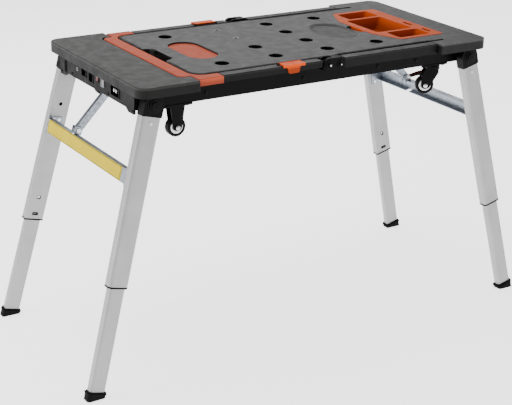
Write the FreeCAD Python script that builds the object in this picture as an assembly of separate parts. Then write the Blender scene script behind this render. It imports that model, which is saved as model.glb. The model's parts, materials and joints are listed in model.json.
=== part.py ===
import FreeCAD, Part
import math
import os

V = FreeCAD.Vector

# Work platform bench. X runs along the top, Y across it, Z up from the floor. Millimetres.

# Top
TOP_L = 1080.0
TOP_W = 532.0
TOP_Z = 779.0
SKIRT_Z = 752.0
PLATE = 6.0
WALL = 4.0
CORNER_R = 30.0
DOG_R = 19.0
DOG_HOLES = [(-247, 150), (-247, -150), (-84.5, -50), (-84.5, -150), (78, 150), (78, -150),
             (78, 50), (78, -50), (240, 150), (240, -150)]
SMALL_HOLES = [(-84.5, 150), (-84.5, 50)]

# Frame
RAIL_OUT = 216.0
RAIL_IN = 190.0
RAIL_Z0 = 712.0
FRAME_X = 524.0

# Legs
HINGE_X = 492.0
HINGE_Z = 729.5
LEG_Y = 234.5
SPLAY_X = 14.34
SPLAY_Y = 3.11
UPPER_W = 54.0
UPPER_D = 26.0
LOWER_W = 43.0
LOWER_D = 21.0
UPPER_END = 459.0
BUTTON_S = 395.0
LEG_TRAVEL = 270.0
COLLAR_T = 4.0
LOWER_TOP = 380.0
FOOT_TOP = 735.0
FLOOR_S = 790.0

# Handle
PIVOT_X = 16.0
PIVOT_Z = 765.0
ARM_OUT = 249.0
ARM_Z0 = 761.0

# Struts
STRUT_Y = 85.0
STRUT_S = 158.0
STRUT_O = 12.0
TRACK_Z = 717.0

# Casters
WHEEL_R = 25.0
WHEEL_W = 20.0
WHEEL_Z = 651.4
RIGID_X = -409.5
RIGID_Y = 200.0
SWIVEL_X = 400.0
SWIVEL_Y = 203.0
TRAIL = 21.0
SWIVEL_DEG = 25.0


def box(x0, x1, y0, y1, z0, z1):
    return Part.makeBox(x1 - x0, y1 - y0, z1 - z0, V(x0, y0, z0))


def rod(r, start, axis, length):
    return Part.makeCylinder(r, length, V(*start), V(*axis))


def fuse(shapes):
    out = shapes[0].multiFuse(shapes[1:])
    return out.removeSplitter()


def mirror_x(shape):
    return shape.mirror(V(0, 0, 0), V(1, 0, 0))


def mirror_y(shape):
    return shape.mirror(V(0, 0, 0), V(0, 1, 0))


def both_y(shape):
    return [shape, mirror_y(shape)]


def rounded_face(points):
    """Flat face at Z 0 from (x, y, corner radius) points."""
    edges = []
    n = len(points)
    ends = []
    for i in range(n):
        p = V(points[i][0], points[i][1], 0)
        r = points[i][2]
        if r == 0:
            ends.append((p, p, p))
            continue
        a = V(points[i - 1][0], points[i - 1][1], 0).sub(p).normalize()
        b = V(points[(i + 1) % n][0], points[(i + 1) % n][1], 0).sub(p).normalize()
        half = a.getAngle(b) / 2
        cut = r / math.tan(half)
        mid = a.add(b).normalize()
        centre = p.add(mid.multiply(r / math.sin(half)))
        to_p = p.sub(centre).normalize()
        ends.append((p.add(a.multiply(cut)), centre.add(to_p.multiply(r)), p.add(b.multiply(cut))))
    for i in range(n):
        start, mid, end = ends[i]
        if start.sub(end).Length > 1e-6:
            edges.append(Part.Arc(start, mid, end).toShape())
        nxt = ends[(i + 1) % n][0]
        if end.sub(nxt).Length > 1e-6:
            edges.append(Part.makeLine(end, nxt))
    return Part.Face(Part.Wire(Part.__sortEdges__(edges)))


def slab(points, z0, z1):
    face = rounded_face(points)
    face.translate(V(0, 0, z0))
    return face.extrude(V(0, 0, z1 - z0))


def shell(points, z0, z1, plate, wall):
    """Open-bottomed moulding: a top plate with a wall all round."""
    face = rounded_face(points)
    inner = face.makeOffset2D(-wall)
    outer = face.copy()
    outer.translate(V(0, 0, z0))
    inner.translate(V(0, 0, z0))
    solid = outer.extrude(V(0, 0, z1 - z0))
    hollow = inner.extrude(V(0, 0, z1 - plate - z0))
    return solid.cut(hollow)


def side_profile(points, y0, y1):
    """Extrude an (x, z, radius) outline along Y."""
    body = slab([(p[0], p[1], p[2]) for p in points], 0, y1 - y0)
    body.rotate(V(0, 0, 0), V(1, 0, 0), 90)
    body.translate(V(0, y1, 0))
    return body


def soften(shape, z, size):
    """Chamfer every edge that lies flat at height z."""
    edges = []
    for edge in shape.Edges:
        flat = all(abs(v.Z - z) < 1e-4 for v in edge.Vertexes)
        if flat and abs(edge.BoundBox.ZMax - z) < 1e-3:
            edges.append(edge)
    return shape.makeChamfer(size, edges)


def save(name, shapes):
    solids = []
    for shape in shapes:
        solids.extend(shape.Solids)
    out = solids[0] if len(solids) == 1 else Part.makeCompound(solids)
    out.exportStep("parts/" + name + ".step")


# ---- Top -------------------------------------------------------------------------------

def make_left_end():
    outline = [(-540, -266, CORNER_R), (-376, -266, 2), (-376, -217, 2), (-408, -217, 16),
               (-408, 217, 16), (-376, 217, 2), (-376, 266, 2), (-540, 266, CORNER_R)]
    top = shell(outline, SKIRT_Z, TOP_Z, PLATE, WALL)
    top = soften(top, TOP_Z, 1.5)
    ribs = [top]
    for y in (-214, -196, -100, -2, 96, 192, 210):
        ribs.append(box(-523, -411, y, y + 4, SKIRT_Z, TOP_Z - PLATE + 1))
    return fuse(ribs)


def deck_outline():
    half = [(-362, -214, 32), (60, -214, 2), (64, -210, 2), (421, -210, 3), (421, -221, 3),
            (375, -221, 2), (375, -266, 2), (540, -266, CORNER_R)]
    return half + [(x, -y, r) for x, y, r in reversed(half)]


def tray_outline(grow):
    """Tray outline with its two left corners cut off."""
    half = [(282 - grow, -78, 12), (318 - grow / 2, -162 - grow, 12), (462 + grow, -162 - grow, 10)]
    return half + [(x, -y, r) for x, y, r in reversed(half)]


def tray_hole(grow, z0, z1):
    return slab(tray_outline(grow), z0, z1)


def oval(length, width, cx, cy, z0, z1):
    r = width / 2 - 0.01
    pts = [(cx - width / 2, cy - length / 2, r), (cx + width / 2, cy - length / 2, r),
           (cx + width / 2, cy + length / 2, r), (cx - width / 2, cy + length / 2, r)]
    return slab(pts, z0, z1)


def dish_wire(rx, ry, z):
    ellipse = Part.Ellipse(V(206, ry, z), V(206 + rx, 0, z), V(206, 0, z))
    return Part.Wire([ellipse.toShape()])


def make_deck():
    deck = shell(deck_outline(), SKIRT_Z, TOP_Z, PLATE, WALL)
    notch = slab([(-370, -72, 0), (-334, -52, 10), (-334, 52, 10), (-370, 72, 0)], 700, 800)
    notch_wall = slab([(-361, -78, 0), (-329, -57, 12), (-329, 57, 12), (-361, 78, 0)], SKIRT_Z + 6, TOP_Z - 1)
    parts = [deck, notch_wall]
    for x, y in DOG_HOLES:
        parts.append(rod(DOG_R + 4, (x, y, SKIRT_Z), (0, 0, 1), TOP_Z - SKIRT_Z - 1))
    for x, y in SMALL_HOLES:
        parts.append(rod(10, (x, y, SKIRT_Z + 8), (0, 0, 1), TOP_Z - SKIRT_Z - 9))
    parts.append(tray_hole(4, SKIRT_Z + 4, TOP_Z - 1))
    parts.append(oval(190, 96, -249, -4, TOP_Z - 15, TOP_Z - 1))
    for y in (-102, -2, 98):
        parts.append(box(-326, 276, y, y + 4, SKIRT_Z + 8, TOP_Z - 1))
    for x in (-170, -2, 158):
        parts.append(box(x, x + 4, -208, 208, SKIRT_Z + 8, TOP_Z - 1))
    for y in (-210, 206):
        parts.append(box(418, 523, y, y + 4, SKIRT_Z, TOP_Z - 1))
    deck = fuse(parts)
    cuts = [notch, tray_hole(0, 700, 800), tray_hole(2.5, TOP_Z - 3, 800)]
    cuts.append(oval(180, 86, -249, -4, TOP_Z - 9, 800))
    for x, y in DOG_HOLES:
        cuts.append(rod(DOG_R, (x, y, 700), (0, 0, 1), 100))
    for x, y in SMALL_HOLES:
        cuts.append(rod(6, (x, y, 700), (0, 0, 1), 100))
    scoop = slab([(262, -47, 12), (292, -47, 0), (292, 25, 0), (262, 25, 12)], TOP_Z - 14, 800)
    cuts.append(scoop)
    dish = Part.makeLoft([dish_wire(64, 92, TOP_Z + 1), dish_wire(50, 78, TOP_Z - 4)], True, True)
    cuts.append(dish)
    for cut in cuts:
        deck = deck.cut(cut)
    return deck.removeSplitter()


def make_oval_insert():
    """Sunk grip pad that lies in the oval recess."""
    return oval(179.4, 85.4, -249, -4, TOP_Z - 9, TOP_Z - 4.5)


def tray_pocket(x0, x1, y0, y1, floor, lean, r):
    """Pocket that narrows to its floor, open above the rim."""
    top = rounded_face([(x0, y0, r), (x1, y0, r), (x1, y1, r), (x0, y1, r)])
    top.translate(V(0, 0, TOP_Z + 2))
    d = lean / 4
    low_r = r * 0.7
    low = rounded_face([(x0 + d, y0 + d, low_r), (x1 - lean, y0 + d, low_r),
                        (x1 - lean, y1 - d, low_r), (x0 + d, y1 - d, low_r)])
    low.translate(V(0, 0, floor))
    return Part.makeLoft([low.OuterWire, top.OuterWire], True, True)


def make_tray():
    rim = tray_hole(2.2, TOP_Z - 3, TOP_Z + 1)
    body = tray_hole(-0.4, 742, TOP_Z - 2)
    tray = fuse([rim, body])
    tray = soften(tray, TOP_Z + 1, 0.8)
    pockets = [tray_pocket(322, 428, 86, 149, 747, 16, 9), tray_pocket(302, 424, -74, 74, 745, 16, 9),
               tray_pocket(322, 430, -149, -86, 747, 14, 9), tray_pocket(437, 449, -47, -11, 756, 2, 4),
               tray_pocket(437, 449, -130, -94, 756, 2, 4)]
    for pocket in pockets:
        tray = tray.cut(pocket)
    return tray


def make_side_rail():
    pts = [(64, -ARM_OUT - 1, 2.5), (374, -ARM_OUT - 1, 2.5), (374, -221, 2.5), (64, -221, 2.5)]
    rail = shell(pts, SKIRT_Z, TOP_Z, PLATE, WALL)
    return soften(rail, TOP_Z, 1.8)


# ---- Frame -----------------------------------------------------------------------------

def hinge_pin():
    shaft = rod(6, (-HINGE_X, -249.3, HINGE_Z), (0, 1, 0), 249.3 - 200)
    head = rod(15, (-HINGE_X, -252.5, HINGE_Z), (0, 1, 0), 3.2)
    cap = rod(10, (-HINGE_X, -254.5, HINGE_Z), (0, 1, 0), 2.0)
    return fuse([shaft, head, cap])


def all_hinge_pins():
    pin = hinge_pin()
    pins = both_y(pin)
    return pins + [mirror_x(p) for p in pins]


def make_frame_rail(pins, bolts):
    outer = box(-FRAME_X, FRAME_X, -RAIL_OUT, -RAIL_IN, RAIL_Z0, SKIRT_Z)
    inner = box(-600, 600, -RAIL_OUT + 2.5, -RAIL_IN - 2.5, RAIL_Z0 + 2.5, SKIRT_Z - 2.5)
    rail = outer.cut(inner)
    for cut in pins + bolts:
        rail = rail.cut(cut)
    return rail


def make_end_beam():
    outer = box(-500, -480, -RAIL_IN, RAIL_IN, 714, 750)
    return outer.cut(box(-498, -482, -200, 200, 716, 748))


def make_cross_member(x):
    outer = box(x - 12, x + 12, -RAIL_IN, RAIL_IN, 733, 749)
    return outer.cut(box(x - 10, x + 10, -200, 200, 735, 747))


def make_track():
    """Channel, open below, that the strut's upper end runs in."""
    outer = box(-480, -118, STRUT_Y - 14.5, STRUT_Y + 14.5, 709, 733)
    return outer.cut(box(-478, -120, STRUT_Y - 12.5, STRUT_Y + 12.5, 700, 731))


def make_fascia(openings):
    pts = [(212, 700, 4), (180, 700, 6), (166, 709, 10), (-166, 709, 10), (-180, 700, 6), (-212, 700, 4),
           (-212, 754, 6), (212, 754, 6)]
    face = rounded_face(pts)
    plate = face.extrude(V(0, 0, 4))
    turn = FreeCAD.Matrix(0, 0, 1, -528, 1, 0, 0, 0, 0, 1, 0, 0, 0, 0, 0, 1)
    plate = plate.transformGeometry(turn)
    for cut in openings:
        plate = plate.cut(cut)
    return plate


SOCKETS = [(67.5, 739.5, 22, 24), (25, 735, 20, 24)]


def fascia_openings():
    cuts = []
    for y, z, w, h in SOCKETS:
        cuts.append(box(-540, -520, y - w / 2, y + w / 2, z - h / 2, z + h / 2))
    cuts.append(box(-540, -520, 175, 181, 712, 745))
    cuts.append(box(-540, -520, -131, -89, 721, 748))
    cuts.append(box(-540, -520, -18.4, -5.6, 733.6, 750.4))
    cuts.append(box(-540, -520, -50, -33, 726, 749))
    cuts.append(rod(5, (-540, 105, 736), (1, 0, 0), 20))
    return cuts


def make_sockets():
    cups = []
    for y, z, w, h in SOCKETS:
        outer = box(-524, -504, y - w / 2 - 2, y + w / 2 + 2, z - h / 2 - 2, z + h / 2 + 2)
        cup = outer.cut(box(-530, -507, y - w / 2, y + w / 2, z - h / 2, z + h / 2))
        tongue = box(-520, -507, y - w / 2 + 5, y + w / 2 - 5, z - 2, z + 2)
        cups.append(fuse([cup, tongue]))
    return cups


def make_socket_bay():
    outer = box(-524, -502, -134, -86, 718, 751)
    bay = outer.cut(box(-530, -504, -131, -89, 721, 748))
    plug = rod(10, (-516, -110, 734.5), (1, 0, 0), 12)
    hole = rod(6, (-530, -110, 734.5), (1, 0, 0), 24)
    return fuse([bay, plug]).cut(hole)


def make_switch_cup():
    outer = box(-524, -510, -21, -3, 731, 753)
    cup = outer.cut(box(-530, -512, -18.6, -5.4, 733.4, 750.6))
    return cup.cut(rod(1.26, (-519, -25, 742), (0, 1, 0), 30))


def make_rocker():
    side = [(-530.2, 734.6, 1), (-529.2, 742, 0), (-530.2, 749.4, 1), (-520, 749.4, 1), (-516, 742, 3),
            (-520, 734.6, 1)]
    body = side_profile(side, -17.8, -6.2)
    pin = rod(1.2, (-519, -20.8, 742), (0, 1, 0), 17.6)
    return fuse([body, pin])


def make_trims():
    insert = rod(5, (-529, 105, 736), (1, 0, 0), 9)
    dimple = rod(2.6, (-530, 105, 736), (1, 0, 0), 5)
    plate = box(-529.5, -522, -50, -33, 726, 749)
    groove = box(-530, -528.5, -48, -35, 728, 747)
    return [insert.cut(dimple), plate.cut(groove)]


def bolt(x, y, z, r, height, shank, side):
    """Round bolt head against a wall at y, facing side (-1 near, 1 far)."""
    head = rod(r, (x, y, z), (0, side, 0), height)
    return fuse([head, rod(r * 0.5, (x, y, z), (0, -side, 0), shank)])


def knuckle_parts():
    """Fixed near-side bracket that the handle arm turns in, and its two bolts."""
    face = -ARM_OUT - 2
    disc = rod(18.5, (PIVOT_X, face, PIVOT_Z), (0, 1, 0), -222 - face)
    keep = box(-30, PIVOT_X + 18, -270, -210, SKIRT_Z, 800)
    cheek = disc.common(keep)
    side = [(PIVOT_X, SKIRT_Z, 0), (64, SKIRT_Z, 0), (64, 778.5, 2), (52, 783, 3), (PIVOT_X, 783, 0)]
    body = fuse([cheek, side_profile(side, face, -222)])
    body = body.cut(box(-40, PIVOT_X + 12.5, -242.5, -227.5, 700, 800))
    bosses = [rod(13, (PIVOT_X, face - 1.5, PIVOT_Z), (0, 1, 0), 3)]
    bosses.append(rod(11, (50, face - 1.5, 764), (0, 1, 0), 3))
    body = fuse([body] + bosses)
    shaft = rod(4, (PIVOT_X, face - 1.5, PIVOT_Z), (0, 1, 0), 26)
    pivot = fuse([shaft, rod(5.5, (PIVOT_X, face - 4, PIVOT_Z), (0, 1, 0), 2.5)])
    second = fuse([rod(3, (50, face - 1.5, 764), (0, 1, 0), 20), rod(5, (50, face - 3.5, 764), (0, 1, 0), 2)])
    return body.cut(pivot).cut(second), [pivot, second]


def rail_bolts():
    bolts = []
    for x in (-330, -40, 200, 330):
        bolts.append(bolt(x, -RAIL_OUT, 730, 5.5, 2.2, 6, -1))
    return bolts


# ---- Handle ----------------------------------------------------------------------------

def make_grip():
    half = [(-405, -214, 18), (-373, -214, 2), (-373, -ARM_OUT - 4, 3), (-302, -ARM_OUT - 4, 2),
            (-302, -221, 2), (-368, -221, 38)]
    outline = half + [(x, -y, r) for x, y, r in reversed(half)]
    grip = shell(outline, ARM_Z0, TOP_Z, PLATE, WALL)
    return soften(grip, TOP_Z, 1.5)


LATCH_X0 = -127.0
LATCH_X1 = -62.0
LATCH_Y = -227.0
LATCH_Z = 781.5
LATCH_FAR_SHIFT = 18.0


def make_arm(shift):
    """Side arm of the handle, with ears for a latch moved along the arm by shift."""
    x1 = PIVOT_X - 20.5
    pts = [(-302, -ARM_OUT, 2.5), (x1, -ARM_OUT, 2.5), (x1, -221, 2.5), (-302, -221, 2.5)]
    arm = shell(pts, ARM_Z0, TOP_Z, PLATE, WALL)
    arm = soften(arm, TOP_Z, 1.8)
    lug = rod(11, (PIVOT_X, -242, PIVOT_Z), (0, 1, 0), 14)
    web = box(-40, PIVOT_X, -242, -228, ARM_Z0, PIVOT_Z + 10)
    ears = []
    for x in (LATCH_X0 - 3.3 + shift, LATCH_X1 + 0.3 + shift):
        ears.append(box(x, x + 3, LATCH_Y - 4, LATCH_Y + 4, TOP_Z - 1, LATCH_Z + 2.5))
    arm = fuse([arm, lug, web] + ears)
    arm = arm.cut(rod(4.05, (PIVOT_X, -300, PIVOT_Z), (0, 1, 0), 100))
    return arm.cut(rod(1.25, (LATCH_X0 - 10 + shift, LATCH_Y, LATCH_Z), (1, 0, 0), 100))


def make_latch():
    """T-shaped catch: a flange on the arm's top and a tongue down its side."""
    y0 = -ARM_OUT - 4
    y1 = -ARM_OUT - 0.6
    flange = box(LATCH_X0, LATCH_X1, y0, LATCH_Y, TOP_Z + 0.4, TOP_Z + 3.6)
    barrel = rod(2.1, (LATCH_X0, LATCH_Y, LATCH_Z), (1, 0, 0), LATCH_X1 - LATCH_X0)
    stub = rod(1.2, (LATCH_X0 - 3.2, LATCH_Y, LATCH_Z), (1, 0, 0), LATCH_X1 - LATCH_X0 + 6.4)
    top = TOP_Z + 3.6
    tongue = side_profile([(-119, top, 0), (-110, 759, 4), (-80, 759, 4), (-76, top, 0)], y0, y1)
    rim = [(LATCH_X0, top, 0), (LATCH_X0, 775.5, 0), (LATCH_X1, 775.5, 0), (LATCH_X1, top, 0)]
    band = side_profile(rim, y0, y1)
    return fuse([flange, barrel, stub, tongue, band])


# ---- Legs ------------------------------------------------------------------------------
# A leg is built upright, hanging from the hinge at its own origin, then splayed and moved.

def place_pair(shape):
    """Hang a near/far symmetric shape from the left hinge line."""
    shape = shape.copy()
    shape.rotate(V(0, 0, 0), V(0, 1, 0), SPLAY_X)
    shape.translate(V(-HINGE_X, 0, HINGE_Z))
    return shape


def tilt_near(shape):
    """Splay a leg-axis shape sideways and move it to the near leg."""
    shape = shape.copy()
    shape.rotate(V(0, 0, 0), V(1, 0, 0), -SPLAY_Y)
    shape.translate(V(0, -LEG_Y, 0))
    return shape


def leg_section(w, d, s0, s1, r_out):
    """Bar with a flat inner side (+Y) and a rounded outer side (-Y)."""
    pts = [(-w / 2, -d / 2, r_out), (w / 2, -d / 2, r_out), (w / 2, d / 2, 2.0), (-w / 2, d / 2, 2.0)]
    return slab(pts, -s1, -s0)


def tube(w, d, wall, s0, s1, r_out):
    outer = leg_section(w, d, s0, s1, r_out)
    pts = [(-w / 2 + wall, -d / 2 + wall, r_out - wall), (w / 2 - wall, -d / 2 + wall, r_out - wall),
           (w / 2 - wall, d / 2 - wall, 0.8), (-w / 2 + wall, d / 2 - wall, 0.8)]
    return outer.cut(slab(pts, -s1 - 1, -s0 + 1))


def upper_tube():
    body = tube(UPPER_W, UPPER_D, 2.0, 30, UPPER_END, 9)
    hole = rod(5, (0, 0, -BUTTON_S), (0, 1, 0), 30)
    window = box(-6.5, 6.5, 5, 20, -UPPER_END + 12.5, -UPPER_END + 17.5)
    spare = rod(5, (0, 0, -BUTTON_S + LEG_TRAVEL), (0, 1, 0), 30)
    return body.cut(hole).cut(window).cut(spare)


def leg_head():
    """Moulded cap over the top of the leg, in the pair's own frame."""
    half = UPPER_W / 2
    y0 = -249.0
    y1 = -221.0
    top = rod(half, (0, y0, 0), (0, 1, 0), y1 - y0)
    body = fuse([top, box(-half, half, y0, y1, -45, 0)])
    cutter = tilt_near(box(-80, 80, -60, 60, -120, -30))
    return body.cut(cutter).cut(rod(6.06, (0, -300, 0), (0, 1, 0), 100))


def make_collar():
    ring = leg_section(UPPER_W + 1.2, UPPER_D + 1.2, UPPER_END, UPPER_END + COLLAR_T, 9.6)
    return ring.cut(leg_section(LOWER_W + 0.7, LOWER_D + 0.7, UPPER_END - 5, UPPER_END + 10, 7.8))


def lower_tube():
    body = tube(LOWER_W, LOWER_D, 1.8, LOWER_TOP, FOOT_TOP + 8, 7.5)
    return body.cut(rod(4.05, (0, 0, -BUTTON_S), (0, 1, 0), 30))


def snap_button():
    z = -BUTTON_S
    return fuse([rod(4, (0, 2.0, z), (0, 1, 0), 8.85), rod(5.5, (0, 7.0, z), (0, 1, 0), 1.5)])


def make_foot_solid():
    foot = leg_section(49, 27, FOOT_TOP, FLOOR_S, 8)
    lip = leg_section(52, 30, FOOT_TOP + 3, FOOT_TOP + 7, 9)
    foot = fuse([foot, lip])
    return foot.cut(tube(LOWER_W, LOWER_D, 1.8, LOWER_TOP, FOOT_TOP + 8, 7.5))


def make_crossbar():
    """Channel across the pair, flanges towards the bench's middle, with strut lugs."""
    y1 = 245
    web = box(-26.5, -24.5, -y1, y1, -205, -168)
    top = box(-25, -10, -y1, y1, -170, -168)
    low = box(-25, -10, -y1, y1, -205, -203)
    bar = fuse([web, top, low])
    bar = bar.cut(box(-24.5, 0, STRUT_Y - 7.5, STRUT_Y + 7.5, -210, -160))
    tabs = []
    leg_block = tilt_near(box(-27, 27, -13, 13, -260, -120))
    tab = tilt_near(box(-26.5, 14, 13, 15.5, -212, -161))
    for item in (leg_block, mirror_y(leg_block)):
        bar = bar.cut(item)
    inside = fuse([box(-60, 60, -222, 222, -300, 0), tilt_near(box(-60, 60, 13, 60, -300, 0)),
                   mirror_y(tilt_near(box(-60, 60, 13, 60, -300, 0)))])
    bar = bar.common(inside)
    for y in (STRUT_Y - 9.5, STRUT_Y + 7.5):
        tabs.append(box(-23, -2, y, y + 2, -169, -148))
    bar = fuse([bar, tab, mirror_y(tab)] + tabs)
    return bar.cut(rod(4, (-STRUT_O, STRUT_Y - 20, -STRUT_S), (0, 1, 0), 40))


def crossbar_rivets():
    rivets = []
    for x, s in ((-14, 168), (4, 168), (-14, 205), (4, 205)):
        rivet = fuse([rod(2.5, (x, 11, -s), (0, 1, 0), 4.6), rod(4.5, (x, 15.5, -s), (0, 1, 0), 1.8)])
        near = tilt_near(rivet)
        rivets.append(near)
        rivets.append(mirror_y(near))
    pin = fuse([rod(4, (-STRUT_O, STRUT_Y - 9.5, -STRUT_S), (0, 1, 0), 19),
                rod(6, (-STRUT_O, STRUT_Y - 11.5, -STRUT_S), (0, 1, 0), 2),
                rod(6, (-STRUT_O, STRUT_Y + 9.5, -STRUT_S), (0, 1, 0), 2)])
    return rivets, pin


def strut_ends():
    """Lower and upper pin of the left strut in the bench's frame, as (x, z)."""
    a = math.radians(SPLAY_X)
    x = -HINGE_X - STRUT_S * math.sin(a) - STRUT_O * math.cos(a)
    z = HINGE_Z - STRUT_S * math.cos(a) + STRUT_O * math.sin(a)
    return (x, z), (-411.0, TRACK_Z)


def make_strut():
    (x0, z0), (x1, z1) = strut_ends()
    length = math.hypot(x1 - x0, z1 - z0)
    angle = math.degrees(math.atan2(z1 - z0, x1 - x0))
    ends = [rod(10, (0, -6, 0), (0, 1, 0), 12), rod(10, (length, -6, 0), (0, 1, 0), 12)]
    body = fuse(ends + [box(0, length, -6, 6, -10, 10)])
    body = body.cut(box(-20, length + 20, -4.4, 10, -8, 8))
    pad = fuse([rod(7.5, (0, -6, 0), (0, 1, 0), 12), rod(7.5, (length, -6, 0), (0, 1, 0), 12)])
    body = fuse([body, pad])
    body = body.cut(rod(4.06, (0, -20, 0), (0, 1, 0), 40))
    knob = rod(4, (length, -12.1, 0), (0, 1, 0), 24.2)
    body = fuse([body, knob])
    body.rotate(V(0, 0, 0), V(0, 1, 0), -angle)
    body.translate(V(x0, STRUT_Y, z0))
    return body


# ---- Casters ---------------------------------------------------------------------------

def wheel_at(x, y, turn):
    tyre = rod(WHEEL_R, (0, -WHEEL_W / 2, 0), (0, 1, 0), WHEEL_W)
    tyre = tyre.makeChamfer(2.5, [e for e in tyre.Edges if len(e.Vertexes) == 1])
    for side in (-1, 1):
        groove = rod(18, (0, side * (WHEEL_W / 2 - 2.5), 0), (0, side, 0), 5)
        hub = rod(8, (0, side * (WHEEL_W / 2 - 3), 0), (0, side, 0), 5)
        tyre = tyre.cut(groove.cut(hub))
    tyre = tyre.cut(rod(4.06, (0, -30, 0), (0, 1, 0), 60))
    tyre.rotate(V(0, 0, 0), V(0, 0, 1), turn)
    tyre.translate(V(x, y, WHEEL_Z))
    return tyre


def axle(y_half):
    return fuse([rod(4, (0, -y_half, 0), (0, 1, 0), 2 * y_half), rod(7, (0, -y_half - 2, 0), (0, 1, 0), 2),
                 rod(7, (0, y_half, 0), (0, 1, 0), 2)])


def make_rigid_fork(y):
    cheek = side_profile([(-11, -8, 8), (11, -8, 8), (20, 52.6, 0), (-20, 52.6, 0)], 11, 13.5)
    top = box(-20, 20, -13.5, 13.5, 52.6, 55.6)
    fork = fuse([cheek, mirror_y(cheek), top, axle(13.5)])
    fork.translate(V(RIGID_X, y, WHEEL_Z))
    return fork


def make_rigid_plate(y):
    plate = slab([(-42, -18, 7), (42, -18, 7), (42, 16, 7), (-42, 16, 7)], 707, RAIL_Z0)
    nuts = [rod(6, (x, 0, 702), (0, 0, 1), 6) for x in (-32, 32)]
    body = fuse([plate] + nuts)
    body.translate(V(RIGID_X, y, 0))
    return body


def make_swivel_plate(y):
    plate = slab([(-42, -15, 7), (42, -15, 7), (42, 13, 7), (-42, 13, 7)], 708, RAIL_Z0)
    nuts = [rod(6, (x, 0, 703), (0, 0, 1), 6) for x in (-33, 33)]
    post = rod(5, (0, 0, 692), (0, 0, 1), 17)
    head = rod(8, (0, 0, 689.5), (0, 0, 1), 3)
    body = fuse([plate, post, head] + nuts)
    body.translate(V(SWIVEL_X, y, 0))
    return body


def make_swivel_fork():
    """Swivel fork about its own upright axis, trailing towards +X."""
    disc = rod(19, (0, 0, 696), (0, 0, 1), 9).cut(rod(12, (0, 0, 690), (0, 0, 1), 10))
    pts = [(-13, 705, 5), (-15, 688, 4), (TRAIL - 10, WHEEL_Z - 9, 8), (TRAIL + 10, WHEEL_Z - 9, 8),
           (TRAIL + 12, 680, 6), (16, 705, 4)]
    cheek = side_profile(pts, 11, 13.5)
    pin = axle(13.5)
    pin.translate(V(TRAIL, 0, WHEEL_Z))
    fork = fuse([disc, cheek, mirror_y(cheek), pin])
    fork = fork.cut(rod(5.06, (0, 0, 650), (0, 0, 1), 100).cut(box(-60, 60, -60, 60, 640, 694)))
    return fork.cut(rod(1.55, (8, -40, 684.5), (0, 1, 0), 80))


def make_pedal():
    """Brake lever on the fork, reaching back over the wheel."""
    side = [(11, 682.5, 1.5), (44, 679.5, 10), (62, 674, 2), (64, 677, 1.5), (46, 684, 10), (34, 688, 8),
            (11, 688, 2)]
    arm = side_profile(side, -10, 10)
    neck = box(6, 16, -10, 10, 682.6, 686.6)
    pin = rod(1.5, (8, -13.4, 684.5), (0, 1, 0), 26.8)
    return fuse([arm, neck, pin])


def put_swivel(shape, side):
    """side -1 is the near caster; both trail inwards towards the bench's middle."""
    shape = shape.copy()
    shape.rotate(V(0, 0, 0), V(0, 0, 1), 180 + side * SWIVEL_DEG)
    shape.translate(V(SWIVEL_X, side * SWIVEL_Y, 0))
    return shape


def swivel_wheel(side):
    turn = 180 + side * SWIVEL_DEG
    a = math.radians(turn)
    return wheel_at(SWIVEL_X + TRAIL * math.cos(a), side * SWIVEL_Y + TRAIL * math.sin(a), turn)


# ---- Build -----------------------------------------------------------------------------

os.makedirs("parts", exist_ok=True)

save("left_end_top", [make_left_end()])
save("top_deck", [make_deck()])
save("oval_grip_insert", [make_oval_insert()])
save("tool_tray", [make_tray()])
save("side_rails", both_y(make_side_rail()))

pins = all_hinge_pins()
near_bolts = rail_bolts()
near_rail = make_frame_rail(pins, near_bolts)
knuckle, knuckle_bolts = knuckle_parts()
save("side_ledges", both_y(box(4, 372, -ARM_OUT + 1, -RAIL_OUT, 750, SKIRT_Z)))
save("frame_rails", both_y(near_rail))
save("frame_end_beams", [make_end_beam(), mirror_x(make_end_beam())])
save("frame_cross_members", [make_cross_member(x) for x in (-262, 0, 262)])
save("strut_tracks", [make_track(), mirror_x(make_track())])
save("left_fascia", [make_fascia(fascia_openings())])
save("right_fascia", [mirror_x(make_fascia([]))])
save("outlet_sockets", make_sockets() + [make_socket_bay(), make_switch_cup()])
save("outlet_trims", make_trims())
save("rocker_switch", [make_rocker()])
save("hinge_pins", pins)
washer = rod(16, (-HINGE_X, -220.7, HINGE_Z), (0, 1, 0), 4.7).cut(pins[0])
washers = both_y(washer)
save("hinge_washers", washers + [mirror_x(w) for w in washers])
save("knuckle_brackets", both_y(knuckle))
save("knuckle_bolts", both_y(knuckle_bolts[0]) + both_y(knuckle_bolts[1]))
save("rail_bolts", near_bolts + [mirror_y(b) for b in near_bolts])
save("rigid_caster_plates", [make_rigid_plate(-RIGID_Y), mirror_y(make_rigid_plate(-RIGID_Y))])
save("rigid_caster_forks", [make_rigid_fork(-RIGID_Y), make_rigid_fork(RIGID_Y)])
save("swivel_caster_plates", [make_swivel_plate(-SWIVEL_Y), mirror_y(make_swivel_plate(-SWIVEL_Y))])

save("handle_grip", [make_grip()])
save("handle_arms", [make_arm(0), mirror_y(make_arm(LATCH_FAR_SHIFT))])
save("latch_near", [make_latch()])
far_latch = mirror_y(make_latch())
far_latch.translate(V(LATCH_FAR_SHIFT, 0, 0))
save("latch_far", [far_latch])

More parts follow.
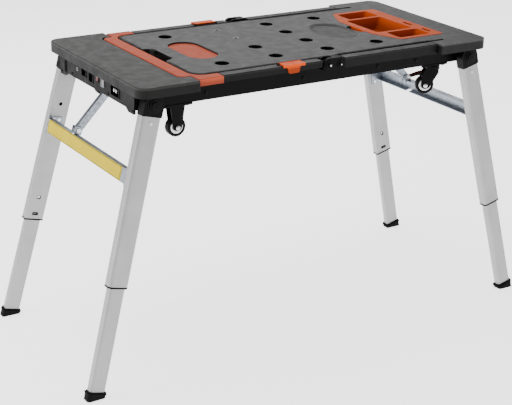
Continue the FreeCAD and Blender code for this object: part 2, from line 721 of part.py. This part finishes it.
rivets, strut_pin = crossbar_rivets()
upper = tilt_near(upper_tube())
bar = make_crossbar()
for rivet in rivets:
    upper = upper.cut(rivet)
    bar = bar.cut(rivet)
label = box(-27.1, -26.5, -208, 222, -204.5, -168.5)
pair = {
    "leg_tubes": both_y(upper),
    "leg_heads": both_y(leg_head()),
    "leg_collars": both_y(tilt_near(make_collar())),
    "crossbar": [bar],
    "crossbar_rivets": rivets + [strut_pin],
}
for part_name, shapes in pair.items():
    left = [place_pair(s) for s in shapes]
    save("left_" + part_name, left)
    save("right_" + part_name, [mirror_x(s) for s in left])
save("crossbar_label", [place_pair(label)])

floor_cut = box(-900, 900, -400, 400, -200, 0)
near_lower = place_pair(tilt_near(lower_tube()))
near_foot = place_pair(tilt_near(make_foot_solid())).cut(floor_cut)
near_button = place_pair(tilt_near(snap_button()))
for part_name, shape in (("lower_leg", near_lower), ("foot", near_foot), ("snap_button", near_button)):
    save(part_name + "_left_near", [shape])
    save(part_name + "_left_far", [mirror_y(shape)])
    save(part_name + "_right_near", [mirror_x(shape)])
    save(part_name + "_right_far", [mirror_x(mirror_y(shape))])

strut = make_strut()
save("left_strut", [strut])
save("right_strut", [mirror_x(strut)])

save("wheel_left_near", [wheel_at(RIGID_X, -RIGID_Y, 0)])
save("wheel_left_far", [wheel_at(RIGID_X, RIGID_Y, 0)])
for side, side_name in ((-1, "near"), (1, "far")):
    save("wheel_right_" + side_name, [swivel_wheel(side)])
    save("swivel_fork_" + side_name, [put_swivel(make_swivel_fork(), side)])
    save("brake_pedal_" + side_name, [put_swivel(make_pedal(), side)])
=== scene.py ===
import json
import math

import bmesh
import bpy
from mathutils import Matrix, Vector


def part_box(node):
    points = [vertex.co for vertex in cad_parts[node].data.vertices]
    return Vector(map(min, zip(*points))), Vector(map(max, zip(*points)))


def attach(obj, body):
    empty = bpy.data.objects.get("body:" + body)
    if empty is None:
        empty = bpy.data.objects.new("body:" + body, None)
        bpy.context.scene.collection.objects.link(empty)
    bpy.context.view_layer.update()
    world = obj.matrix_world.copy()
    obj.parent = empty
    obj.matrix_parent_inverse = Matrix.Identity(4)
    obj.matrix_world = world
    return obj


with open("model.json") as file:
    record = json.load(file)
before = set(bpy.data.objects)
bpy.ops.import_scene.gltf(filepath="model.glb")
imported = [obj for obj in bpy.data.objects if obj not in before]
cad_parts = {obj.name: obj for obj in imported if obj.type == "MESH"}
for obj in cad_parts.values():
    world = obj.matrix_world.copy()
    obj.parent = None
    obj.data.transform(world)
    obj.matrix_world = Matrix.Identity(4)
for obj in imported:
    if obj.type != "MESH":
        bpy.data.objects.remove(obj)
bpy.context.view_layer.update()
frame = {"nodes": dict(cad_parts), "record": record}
nodes = frame["nodes"]

# Driving places of the bench, in metres
HINGE_X = 0.492
HINGE_Z = 0.7295
LEG_Y = 0.2345
SPLAY_OUT = math.radians(14.34)
SPLAY_SIDE = math.radians(3.11)
LEG_FACE = 0.0130
UPPER_END = 0.459
BUTTON_S = 0.395
FASCIA_X = -0.5281
RIGID_CASTER = (-0.4095, 0.200)
SWIVEL_CASTER = (0.400, 0.203)
SWIVEL_TRAIL = 0.021
SWIVEL_TURN = math.radians(25)
AXLE_Z = 0.6514


# ---- Materials -------------------------------------------------------------------------

def new_material(name, rough, metallic=0.0, spec=0.5):
    mat = bpy.data.materials.new(name)
    mat.use_nodes = True
    bsdf = mat.node_tree.nodes["Principled BSDF"]
    bsdf.inputs["Roughness"].default_value = rough
    bsdf.inputs["Metallic"].default_value = metallic
    bsdf.inputs["Specular IOR Level"].default_value = spec
    return mat, mat.node_tree, bsdf


def coords(tree, scale, turn=(0, 0, 0)):
    tex = tree.nodes.new("ShaderNodeTexCoord")
    mapping = tree.nodes.new("ShaderNodeMapping")
    mapping.inputs["Scale"].default_value = scale
    mapping.inputs["Rotation"].default_value = turn
    tree.links.new(tex.outputs["Object"], mapping.inputs["Vector"])
    return mapping.outputs["Vector"]


def noise(tree, vector, scale, detail=4.0):
    n = tree.nodes.new("ShaderNodeTexNoise")
    n.inputs["Scale"].default_value = scale
    n.inputs["Detail"].default_value = detail
    tree.links.new(vector, n.inputs["Vector"])
    return n.outputs["Fac"]


def ramp(tree, fac, low, high, lo_pos=0.3, hi_pos=0.7):
    r = tree.nodes.new("ShaderNodeValToRGB")
    r.color_ramp.elements[0].position = lo_pos
    r.color_ramp.elements[1].position = hi_pos
    r.color_ramp.elements[0].color = (*low, 1)
    r.color_ramp.elements[1].color = (*high, 1)
    tree.links.new(fac, r.inputs["Fac"])
    return r.outputs["Color"]


def spread(tree, fac, low, high):
    m = tree.nodes.new("ShaderNodeMapRange")
    m.inputs["To Min"].default_value = low
    m.inputs["To Max"].default_value = high
    m.inputs["From Min"].default_value = 0.3
    m.inputs["From Max"].default_value = 0.7
    tree.links.new(fac, m.inputs["Value"])
    return m.outputs["Result"]


def add_bump(tree, bsdf, height, distance, strength):
    b = tree.nodes.new("ShaderNodeBump")
    b.inputs["Distance"].default_value = distance
    b.inputs["Strength"].default_value = strength
    tree.links.new(height, b.inputs["Height"])
    tree.links.new(b.outputs["Normal"], bsdf.inputs["Normal"])


def shade(color, factor):
    return tuple(min(1.0, c * factor) for c in color)


def tint(tree, bsdf, fac, color, low, high, lo_pos=0.3, hi_pos=0.7):
    """Drive the base colour between two shades of one colour."""
    tone = ramp(tree, fac, shade(color, low), shade(color, high), lo_pos, hi_pos)
    tree.links.new(tone, bsdf.inputs["Base Color"])


def gloss(tree, bsdf, fac, low, high):
    tree.links.new(spread(tree, fac, low, high), bsdf.inputs["Roughness"])


def paint_shade_below(tree, vector, color, low, high, factor):
    """Darken a colour below a height, as painted shade on the mouldings' side flanks."""
    split = tree.nodes.new("ShaderNodeSeparateXYZ")
    tree.links.new(vector, split.inputs["Vector"])
    m = tree.nodes.new("ShaderNodeMapRange")
    m.inputs["From Min"].default_value = low
    m.inputs["From Max"].default_value = high
    m.inputs["To Min"].default_value = factor
    m.inputs["To Max"].default_value = 1.0
    tree.links.new(split.outputs["Z"], m.inputs["Value"])
    mix = tree.nodes.new("ShaderNodeVectorMath")
    mix.operation = "SCALE"
    tree.links.new(color, mix.inputs["Vector"])
    tree.links.new(m.outputs["Result"], mix.inputs["Scale"])
    return mix.outputs["Vector"]


def moulded(name, color, rough, grain=900.0, depth=0.00012, vary=0.08, spec=0.5, painted_flank_shade=None):
    """Injection-moulded plastic: fine spark-eroded grain and faint flow marks, with optional painted shade
    darkening the flanks below a height.
    """
    mat, tree, bsdf = new_material(name, rough, 0.0, spec)
    v = coords(tree, (1, 1, 1))
    broad = noise(tree, v, 9.0, 3.0)
    fine = noise(tree, v, grain, 2.0)
    tone = ramp(tree, broad, shade(color, 1 - vary), shade(color, 1 + vary))
    # Painted shade: the flanks below a height are darkened in the base colour.
    if painted_flank_shade:
        tone = paint_shade_below(tree, v, tone, *painted_flank_shade)
    tree.links.new(tone, bsdf.inputs["Base Color"])
    gloss(tree, bsdf, noise(tree, v, 40.0), rough - 0.06, rough + 0.06)
    add_bump(tree, bsdf, fine, depth, 0.6)
    return mat


def coated(name, color, rough):
    """Powder-coated steel: soft orange-peel."""
    mat, tree, bsdf = new_material(name, rough, 0.0, 0.06)
    v = coords(tree, (1, 1, 1))
    tint(tree, bsdf, noise(tree, v, 14.0), color, 0.8, 1.3)
    gloss(tree, bsdf, noise(tree, v, 60.0), rough - 0.08, rough + 0.08)
    add_bump(tree, bsdf, noise(tree, v, 450.0, 2.0), 0.00015, 0.5)
    return mat


def extruded(name, color, rough, tilt):
    """Anodised extrusion: fine draw lines along the leg."""
    mat, tree, bsdf = new_material(name, rough, 0.45, 0.35)
    v = coords(tree, (1, 1, 0.012), (0, tilt, 0))
    lines = noise(tree, v, 420.0, 3.0)
    soft = noise(tree, coords(tree, (1, 1, 1)), 11.0, 3.0)
    tint(tree, bsdf, soft, color, 0.94, 1.05)
    gloss(tree, bsdf, lines, rough - 0.09, rough + 0.1)
    add_bump(tree, bsdf, lines, 0.00006, 0.5)
    return mat


def galvanised(name, color, rough):
    """Zinc spangle in irregular flakes."""
    mat, tree, bsdf = new_material(name, rough, 0.85, 0.5)
    v = coords(tree, (1, 1, 1))
    flake = tree.nodes.new("ShaderNodeTexVoronoi")
    flake.inputs["Scale"].default_value = 170.0
    tree.links.new(v, flake.inputs["Vector"])
    tone = tree.nodes.new("ShaderNodeSeparateColor")
    tree.links.new(flake.outputs["Color"], tone.inputs["Color"])
    tint(tree, bsdf, tone.outputs["Red"], color, 0.8, 1.15, 0.0, 1.0)
    gloss(tree, bsdf, tone.outputs["Green"], rough - 0.06, rough + 0.1)
    add_bump(tree, bsdf, noise(tree, v, 260.0), 0.00008, 0.4)
    return mat


def film(name, color, rough):
    """Printed film with faint rub marks."""
    mat, tree, bsdf = new_material(name, rough, 0.0, 0.12)
    v = coords(tree, (1, 1, 1))
    tint(tree, bsdf, noise(tree, v, 26.0), color, 0.92, 1.05)
    rub = noise(tree, coords(tree, (1, 0.06, 1)), 240.0, 2.0)
    gloss(tree, bsdf, rub, rough - 0.07, rough + 0.12)
    add_bump(tree, bsdf, rub, 0.00004, 0.3)
    return mat


def zinc(name, color, rough):
    """Turned and plated hardware."""
    mat, tree, bsdf = new_material(name, rough, 0.9, 0.5)
    v = coords(tree, (1, 1, 1))
    fine = noise(tree, v, 700.0, 2.0)
    tint(tree, bsdf, noise(tree, v, 90.0), color, 0.85, 1.1)
    gloss(tree, bsdf, fine, rough - 0.08, rough + 0.08)
    add_bump(tree, bsdf, fine, 0.00005, 0.4)
    return mat


# A flank's three numbers are the heights between which its painted shade fades, and its darkest factor
MATS = {
    "deck_grey": moulded("deck_plastic", (0.062, 0.062, 0.062), 0.52, 1100.0, 0.00015, 0.03, 0.14,
                         (0.7735, 0.7775, 0.15)),
    "end_grey": moulded("end_plastic", (0.036, 0.035, 0.034), 0.52, 1100.0, 0.00015, 0.03, 0.12,
                        (0.7715, 0.7765, 0.2)),
    "rail_grey": moulded("rail_plastic", (0.022, 0.022, 0.022), 0.46, 1100.0, 0.00015, 0.06, 0.1,
                         (0.7735, 0.7775, 0.2)),
    "grip_orange": moulded("grip_plastic", (0.50, 0.085, 0.040), 0.6, 1000.0, 0.0001, 0.05, 0.1,
                           (0.766, 0.776, 0.55)),
    "catch_orange": moulded("catch_plastic", (0.80, 0.085, 0.0), 0.5, 900.0, 0.00008, 0.04, 0.12,
                            (0.770, 0.779, 0.4)),
    "tray_orange": moulded("tray_plastic", (0.56, 0.072, 0.004), 0.55, 900.0, 0.0001, 0.05, 0.12,
                           (0.758, 0.776, 0.55)),
    "frame_black": coated("frame_coat", (0.0012, 0.0012, 0.0012), 0.42),
    "moulded_black": moulded("black_plastic", (0.0015, 0.0015, 0.0016), 0.5, 800.0, 0.0001, 0.15, 0.07),
    "hardware_black": coated("pin_coat", (0.003, 0.003, 0.003), 0.36),
    "hardware_zinc": zinc("zinc_plate", (0.62, 0.62, 0.64), 0.32),
    "trim_grey": moulded("trim_plastic", (0.20, 0.20, 0.205), 0.45, 900.0, 0.00006, 0.04, 0.3),
    "switch_red": moulded("switch_plastic", (0.10, 0.002, 0.003), 0.3, 700.0, 0.00003, 0.06, 0.2),
    "galvanised": galvanised("galvanised_steel", (0.27, 0.30, 0.34), 0.4),
    "label_yellow": film("label_film", (0.66, 0.50, 0.0), 0.5),
    "foot_rubber": moulded("foot_rubber", (0.003, 0.003, 0.003), 0.7, 500.0, 0.0002, 0.2, 0.08),
    "caster_black": coated("caster_coat", (0.0015, 0.0015, 0.0015), 0.38),
    "wheel_rubber": moulded("wheel_rubber", (0.002, 0.002, 0.002), 0.55, 500.0, 0.00015, 0.2, 0.08),
}
LEG_LEFT = extruded("leg_left", (0.37, 0.37, 0.375), 0.45, SPLAY_OUT)
LEG_RIGHT = extruded("leg_right", (0.37, 0.37, 0.375), 0.45, -SPLAY_OUT)

slot_of = {s["node"]: s["material_slot"] for s in frame["record"]["subparts"]}
for name, obj in nodes.items():
    slot = slot_of[name]
    if slot == "leg_aluminium":
        mat = LEG_LEFT if "left" in name else LEG_RIGHT
    else:
        mat = MATS[slot]
    if name == "knuckle_bolts":
        mat = MATS["hardware_black"]
    obj.data.materials.clear()
    obj.data.materials.append(mat)


# ---- Mesh helpers ----------------------------------------------------------------------

def link(name, bm, body, mat, smooth=True, bevel=0.0):
    mesh = bpy.data.meshes.new(name)
    bmesh.ops.recalc_face_normals(bm, faces=bm.faces)
    bm.to_mesh(mesh)
    bm.free()
    obj = bpy.data.objects.new(name, mesh)
    bpy.context.scene.collection.objects.link(obj)
    mesh.materials.append(mat)
    if smooth:
        for poly in mesh.polygons:
            poly.use_smooth = True
        mesh.set_sharp_from_angle(angle=math.radians(35))
    if bevel:
        mod = obj.modifiers.new("bevel", "BEVEL")
        mod.width = bevel
        mod.segments = 2
        mod.limit_method = "ANGLE"
        mod.harden_normals = True
    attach(obj, body)


def turn_to(axis):
    return Vector((0, 0, 1)).rotation_difference(Vector(axis).normalized()).to_matrix().to_4x4()


def lathe(bm, profile, centre, axis, steps=40):
    """Revolve (radius, height) points round axis; a closed ring profile closes on itself."""
    place = Matrix.Translation(Vector(centre)) @ turn_to(axis)
    rings = []
    for r, h in profile:
        ring = []
        for i in range(steps):
            a = 2 * math.pi * i / steps
            ring.append(bm.verts.new(place @ Vector((r * math.cos(a), r * math.sin(a), h))))
        rings.append(ring)
    for a, b in zip(rings, rings[1:]):
        for i in range(steps):
            j = (i + 1) % steps
            bm.faces.new((a[i], a[j], b[j], b[i]))
    return rings


def cap(bm, ring, flip=False):
    bm.faces.new(list(reversed(ring)) if flip else ring)


def turned(bm, profile, centre, axis, steps=40):
    """Revolved solid with both ends closed."""
    rings = lathe(bm, profile, centre, axis, steps)
    cap(bm, rings[0], True)
    cap(bm, rings[-1])


def prism(bm, outline, height, place):
    """Extrude a flat (x, y) outline by height, placed by a matrix."""
    low = [bm.verts.new(place @ Vector((x, y, 0))) for x, y in outline]
    high = [bm.verts.new(place @ Vector((x, y, height))) for x, y in outline]
    n = len(outline)
    for i in range(n):
        j = (i + 1) % n
        bm.faces.new((low[i], low[j], high[j], high[i]))
    bm.faces.new(list(reversed(low)))
    bm.faces.new(high)


def rounded(w, h, r, steps=6):
    pts = []
    x, y = w / 2 - r, h / 2 - r
    for cx, cy, start in ((x, y, 0), (-x, y, 90), (-x, -y, 180), (x, -y, 270)):
        for i in range(steps + 1):
            a = math.radians(start + 90 * i / steps)
            pts.append((cx + r * math.cos(a), cy + r * math.sin(a)))
    return pts


def frame_ring(bm, w, h, r, band, height, place):
    """Raised rectangular bezel."""
    outer = rounded(w, h, r)
    inner = rounded(w - 2 * band, h - 2 * band, max(r - band, 0.0002))
    rows = []
    crown = rounded(w - 0.0006, h - 0.0006, max(r - 0.0003, 0.0002))
    for pts, z in ((outer, 0), (outer, height * 0.7), (crown, height), (inner, height), (inner, 0)):
        rows.append([bm.verts.new(place @ Vector((x, y, z))) for x, y in pts])
    n = len(outer)
    for a, b in zip(rows, rows[1:] + rows[:1]):
        for i in range(n):
            j = (i + 1) % n
            bm.faces.new((a[i], a[j], b[j], b[i]))


def screw(bm, centre, axis, r=0.0042, h=0.0018):
    """Pan head with a hex socket."""
    profile = [(r, 0), (r, h * 0.5), (r * 0.86, h * 0.9), (r * 0.6, h), (r * 0.45, h), (r * 0.42, h * 0.35)]
    turned(bm, profile, centre, axis, 24)


# ---- Details ---------------------------------------------------------------------------

# Hole centres in millimetres
DOG_HOLES = [(-247, 150), (-247, -150), (-84.5, -50), (-84.5, -150), (78, 150), (78, -150),
             (78, 50), (78, -50), (240, 150), (240, -150)]
SMALL_HOLES = [(-84.5, 150), (-84.5, 50)]


def hole_liners():
    """Black sleeves in the dog holes with a small lead-in lip, and bushes in the small holes."""
    sleeve = [(0.0189, 0.0), (0.0189, 0.0245), (0.0186, 0.0252), (0.0178, 0.0246), (0.0176, 0.0),
              (0.0189, 0.0)]
    bush = [(0.0059, 0), (0.0059, 0.0255), (0.0078, 0.0262), (0.0082, 0.0268), (0.0078, 0.0272),
            (0.0052, 0.0268), (0.0048, 0.0), (0.0059, 0)]
    bm = bmesh.new()
    for x, y in DOG_HOLES:
        lathe(bm, sleeve, (x / 1000, y / 1000, 0.7530), (0, 0, 1), 48)
    link("dog_hole_liners", bm, "root", MATS["moulded_black"])
    bm = bmesh.new()
    for x, y in SMALL_HOLES:
        lathe(bm, bush, (x / 1000, y / 1000, 0.7525), (0, 0, 1), 32)
    link("small_hole_bushes", bm, "root", MATS["trim_grey"])


def panel_edging():
    """Black edging round the middle panel, with a thin lip over the panel's rim."""
    thick, overlap, lip_t = 0.0028, 0.0040, 0.0004
    z0, z1 = 0.7535, 0.7791
    bm = bmesh.new()
    path = [(0.374, -0.2102), (0.0630, -0.2102), (0.0610, -0.2142), (-0.330, -0.2142)]
    for i in range(1, 9):
        a = math.radians(270 - 90 * i / 8)
        path.append((-0.330 + 0.0322 * math.cos(a), -0.182 + 0.0322 * math.sin(a)))
    path.append((-0.3622, -0.0745))
    for sy in (1, -1):
        pts = [(x, y * sy) for x, y in path]
        rows = []
        for i, (x, y) in enumerate(pts):
            p = Vector((x, y, 0))
            a = Vector((*pts[max(i - 1, 0)], 0))
            b = Vector((*pts[min(i + 1, len(pts) - 1)], 0))
            t = (b - a).normalized()
            n = Vector((t.y, -t.x, 0)) * sy
            if n.dot(p) < 0:
                n = -n
            q = p + n * thick
            lip = p - n * overlap
            section = ((p.x, p.y, z0), (p.x, p.y, z1), (lip.x, lip.y, z1), (lip.x, lip.y, z1 + lip_t),
                       (q.x, q.y, z1 - 0.0006), (q.x, q.y, z0))
            rows.append([bm.verts.new(v) for v in section])
        for a, b in zip(rows, rows[1:]):
            for k in range(6):
                m = (k + 1) % 6
                bm.faces.new((a[k], a[m], b[m], b[k]))
        bm.faces.new(rows[0])
        bm.faces.new(list(reversed(rows[-1])))
    link("panel_edging", bm, "root", MATS["moulded_black"])


def notch_painted_shade():
    """Thin black sheets on the three walls of the finger notch as painted shade for the recess; the notch
    stays open below.
    """
    tall = 0.0185
    place = Matrix.Translation((0, 0, 0.7590))
    bm = bmesh.new()
    prism(bm, [(-0.3342, -0.0440), (-0.3342, 0.0440), (-0.3350, 0.0440), (-0.3350, -0.0440)], tall, place)
    for sy in (-1, 1):
        pts = [(-0.3600, sy * 0.0675), (-0.3440, sy * 0.0575), (-0.3440, sy * 0.0568), (-0.3600, sy * 0.0668)]
        prism(bm, pts if sy < 0 else pts[::-1], tall, place)
    link("notch_painted_shade", bm, "root", MATS["moulded_black"], smooth=False)


def pivot_details():
    """Socketed caps on the leg pivots, rings on the leg heads and bright centres on the knuckle bolts."""
    socket = [(0.0100, -0.0001), (0.0098, 0.0007), (0.0080, 0.0011), (0.0050, 0.0011), (0.0046, 0.0003),
              (0.0001, 0.0003)]
    ring = [(0.0205, 0.0), (0.0203, 0.0010), (0.0190, 0.0014), (0.0160, 0.0012), (0.0155, 0.0002),
            (0.0205, 0.0)]
    bm = bmesh.new()
    for sx in (-1, 1):
        for sy in (-1, 1):
            lathe(bm, socket, (sx * HINGE_X, sy * 0.2545, HINGE_Z), (0, sy, 0), 32)
    link("pivot_caps", bm, "root", MATS["hardware_black"])
    for side, sx in (("left", -1), ("right", 1)):
        bm = bmesh.new()
        for sy in (-1, 1):
            lathe(bm, ring, (sx * HINGE_X, sy * 0.2489, HINGE_Z), (0, sy, 0), 48)
        link("head_rings_" + side, bm, side + "_legs", MATS["hardware_black"])
    bm = bmesh.new()
    for sy in (-1, 1):
        screw(bm, (0.016, sy * 0.2550, 0.765), (0, sy, 0), 0.0026, 0.0012)
        screw(bm, (0.050, sy * 0.2545, 0.764), (0, sy, 0), 0.0020, 0.0012)
    link("knuckle_screws", bm, "root", MATS["hardware_zinc"])


def panel_place(y, z, x=FASCIA_X):
    """Local X to -Y, local Y to +Z, local Z out of the left end panel."""
    return Matrix(((0, 0, -1, x), (-1, 0, 0, y), (0, 1, 0, z), (0, 0, 0, 1)))


# Centre Y and Z, width and height of each panel opening, in millimetres
PANEL_OPENINGS = [(67.5, 739.5, 22, 24), (25, 735, 20, 24), (-110, 734.5, 42, 27), (-12, 742, 12.8, 16.8),
                  (178, 728.5, 6, 33)]
PANEL_SCREWS = [(204, 745), (204, 708), (-204, 745), (-204, 708), (140, 745), (-70, 716), (140, 716)]


def fascia_details():
    """Bezels round the end panel's openings, its screws, and two contacts in the outlet bay."""
    bm = bmesh.new()
    for y, z, w, h in PANEL_OPENINGS:
        frame_ring(bm, (w + 5) / 1000, (h + 5) / 1000, 0.003, 0.0024, 0.0014, panel_place(y / 1000, z / 1000))
    link("outlet_bezels", bm, "root", MATS["moulded_black"])
    bm = bmesh.new()
    for y, z in PANEL_SCREWS:
        screw(bm, (-0.528, y / 1000, z / 1000), (-1, 0, 0), 0.0036, 0.0016)
    link("fascia_screws", bm, "root", MATS["hardware_black"])
    bm = bmesh.new()
    place = panel_place(-0.110, 0.7345, -0.5245)
    for dy in (-0.006, 0.006):
        prism(bm, rounded(0.004, 0.009, 0.0012), 0.006, place @ Matrix.Translation((dy, 0, -0.002)))
    link("outlet_contacts", bm, "root", MATS["hardware_zinc"], bevel=0.0004)


def wheel_caps():
    """Bright hub ring on both sides of each wheel."""
    wheels = [("wheel_left_near", "wheel_ln"), ("wheel_left_far", "wheel_lf"),
              ("wheel_right_near", "wheel_rn"), ("wheel_right_far", "wheel_rf")]
    profile = [(0.0170, 0.0), (0.0172, 0.0012), (0.0160, 0.0020), (0.0125, 0.0022), (0.0105, 0.0014),
               (0.0084, 0.0014), (0.0084, 0.0)]
    for node, body in wheels:
        lo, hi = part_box(node)
        c = (Vector(lo) + Vector(hi)) / 2
        turn = 0.0
        if "right" in node:
            turn = -SWIVEL_TURN if "near" in node else SWIVEL_TURN
        axis = Vector((-math.sin(turn), math.cos(turn), 0))
        for side in (-1, 1):
            bm = bmesh.new()
            lathe(bm, profile, c + axis * side * 0.0073, axis * side, 48)
            name = "hub_ring_" + node[6:] + ("_a" if side < 0 else "_b")
            link(name, bm, body, MATS["hardware_zinc"])


def axle_nuts():
    """Domed nuts over the caster axles."""
    dome = [(0.0060, 0), (0.0060, 0.0012), (0.0046, 0.0026), (0.0020, 0.0034)]
    reach = 0.0155
    bm = bmesh.new()
    for sy in (-1, 1):
        for side in (-1, 1):
            c = Vector((RIGID_CASTER[0], sy * RIGID_CASTER[1] + side * reach, AXLE_Z))
            turned(bm, dome, c, (0, side, 0), 24)
    link("rigid_axle_nuts", bm, "root", MATS["hardware_zinc"])
    for name, sy in (("near", -1), ("far", 1)):
        bm = bmesh.new()
        turn = math.pi + sy * SWIVEL_TURN
        u = Vector((math.cos(turn), math.sin(turn), 0))
        v = Vector((-math.sin(turn), math.cos(turn), 0))
        c = Vector((SWIVEL_CASTER[0], sy * SWIVEL_CASTER[1], AXLE_Z)) + u * SWIVEL_TRAIL
        for side in (-1, 1):
            turned(bm, dome, c + v * side * reach, v * side, 24)
        link("swivel_axle_nuts_" + name, bm, "swivel_" + name, MATS["hardware_zinc"])


def leg_matrix(sx, sy):
    """Leg frame: local X outboard, local Y towards the bench's middle, local Z up the leg."""
    m = Matrix.Translation((-HINGE_X, 0, HINGE_Z)) @ Matrix.Rotation(SPLAY_OUT, 4, "Y")
    m = m @ Matrix.Translation((0, -LEG_Y, 0)) @ Matrix.Rotation(-SPLAY_SIDE, 4, "X")
    return Matrix.Diagonal((-sx, -sy, 1, 1)) @ m


def leg_details():
    """Slot frame and button ring on each leg's inner face, and a rivet on its outer face."""
    eyelet = [(0.0050, -0.001), (0.0062, 0.0), (0.0060, 0.0007), (0.0051, 0.0007), (0.0049, -0.001)]
    inward = Matrix.Rotation(-math.pi / 2, 4, "X")
    outward = Matrix.Rotation(math.pi / 2, 4, "X")
    for sx, side in ((-1, "left"), (1, "right")):
        steel = bmesh.new()
        dark = bmesh.new()
        for sy in (-1, 1):
            m = leg_matrix(sx, sy)
            slot = m @ Matrix.Translation((0, LEG_FACE, -UPPER_END + 0.015)) @ inward
            frame_ring(dark, 0.0168, 0.0086, 0.0012, 0.0026, 0.0008, slot)
            place = m @ Matrix.Translation((0, LEG_FACE, -BUTTON_S)) @ inward
            origin = place @ Vector((0, 0, 0))
            axis = (place @ Vector((0, 0, 1))) - origin
            lathe(dark, eyelet, origin, axis, 28)
            outer = m @ Matrix.Translation((0, -LEG_FACE, -0.046)) @ outward
            o = outer @ Vector((0, 0, 0))
            screw(steel, o, (outer @ Vector((0, 0, 1))) - o, 0.0046, 0.0016)
        link("leg_slot_frames_" + side, dark, side + "_legs", MATS["moulded_black"])
        link("leg_rivets_" + side, steel, side + "_legs", MATS["hardware_zinc"])


def label_details():
    """Thin dark border on the plain label."""
    m = Matrix.Translation((-HINGE_X, 0, HINGE_Z)) @ Matrix.Rotation(SPLAY_OUT, 4, "Y")
    facing = Matrix(((0, 0, -1, 0), (1, 0, 0, 0), (0, 1, 0, 0), (0, 0, 0, 1)))
    place = m @ Matrix.Translation((-0.0271, 0.007, -0.1865)) @ facing
    bm = bmesh.new()
    frame_ring(bm, 0.424, 0.0330, 0.002, 0.0008, 0.0003, place)
    link("label_border", bm, "left_legs", MATS["moulded_black"])


hole_liners()
panel_edging()
notch_painted_shade()
pivot_details()
fascia_details()
wheel_caps()
axle_nuts()
leg_details()
label_details()


# ---- Floor, light and camera -----------------------------------------------------------

def floor():
    mesh = bpy.data.meshes.new("floor")
    s, z = 30.0, -0.0005
    mesh.from_pydata([(-s, -s, z), (s, -s, z), (s, s, z), (-s, s, z)], [], [(0, 1, 2, 3)])
    obj = bpy.data.objects.new("floor", mesh)
    bpy.context.scene.collection.objects.link(obj)
    mat, tree, bsdf = new_material("floor_paper", 0.9)
    v = coords(tree, (1, 1, 1))
    tone = ramp(tree, noise(tree, v, 0.8), (0.90, 0.90, 0.90), (0.92, 0.92, 0.92))
    tree.links.new(tone, bsdf.inputs["Base Color"])
    bsdf.inputs["Emission Color"].default_value = (1, 1, 1, 1)
    bsdf.inputs["Emission Strength"].default_value = 2.3
    mesh.materials.append(mat)


def area(name, place, target, size, power):
    data = bpy.data.lights.new(name, "AREA")
    data.shape = "RECTANGLE"
    data.size = size[0]
    data.size_y = size[1]
    data.energy = power
    obj = bpy.data.objects.new(name, data)
    obj.location = place
    look = Vector(target) - Vector(place)
    obj.rotation_euler = look.to_track_quat("-Z", "Y").to_euler()
    bpy.context.scene.collection.objects.link(obj)


floor()
world = bpy.data.worlds.new("studio")
bpy.context.scene.world = world
world.use_nodes = True
world.node_tree.nodes["Background"].inputs["Color"].default_value = (1, 1, 1, 1)
world.node_tree.nodes["Background"].inputs["Strength"].default_value = 0.3
area("key", (-0.6, 0.4, 3.4), (0, 0, 0.6), (2.6, 2.6), 70)
area("fill", (-4.0, 0.8, 1.0), (0, 0, 0.4), (1.8, 1.8), 60)
area("back", (1.2, 2.8, 2.2), (0, 0, 0.7), (3.0, 1.5), 40)

cam_data = bpy.data.cameras.new("camera")
cam_data.sensor_width = 36.0
cam_data.lens = 92.8125
cam_data.clip_end = 100.0
cam = bpy.data.objects.new("camera", cam_data)
AZ, EL, ROLL = math.radians(32.77), math.radians(21.29), math.radians(1.49)
forward = Vector((math.sin(AZ) * math.cos(EL), math.cos(AZ) * math.cos(EL), -math.sin(EL)))
right = forward.cross(Vector((0, 0, 1))).normalized()
up = right.cross(forward)
cam_right = math.cos(ROLL) * right + math.sin(ROLL) * up
cam_up = math.cos(ROLL) * up - math.sin(ROLL) * right
cam.matrix_world = Matrix.Translation((-1.916, -2.918, 1.663)) @ Matrix(
    (cam_right, cam_up, -forward)).transposed().to_4x4()
bpy.context.scene.collection.objects.link(cam)
bpy.context.scene.camera = cam
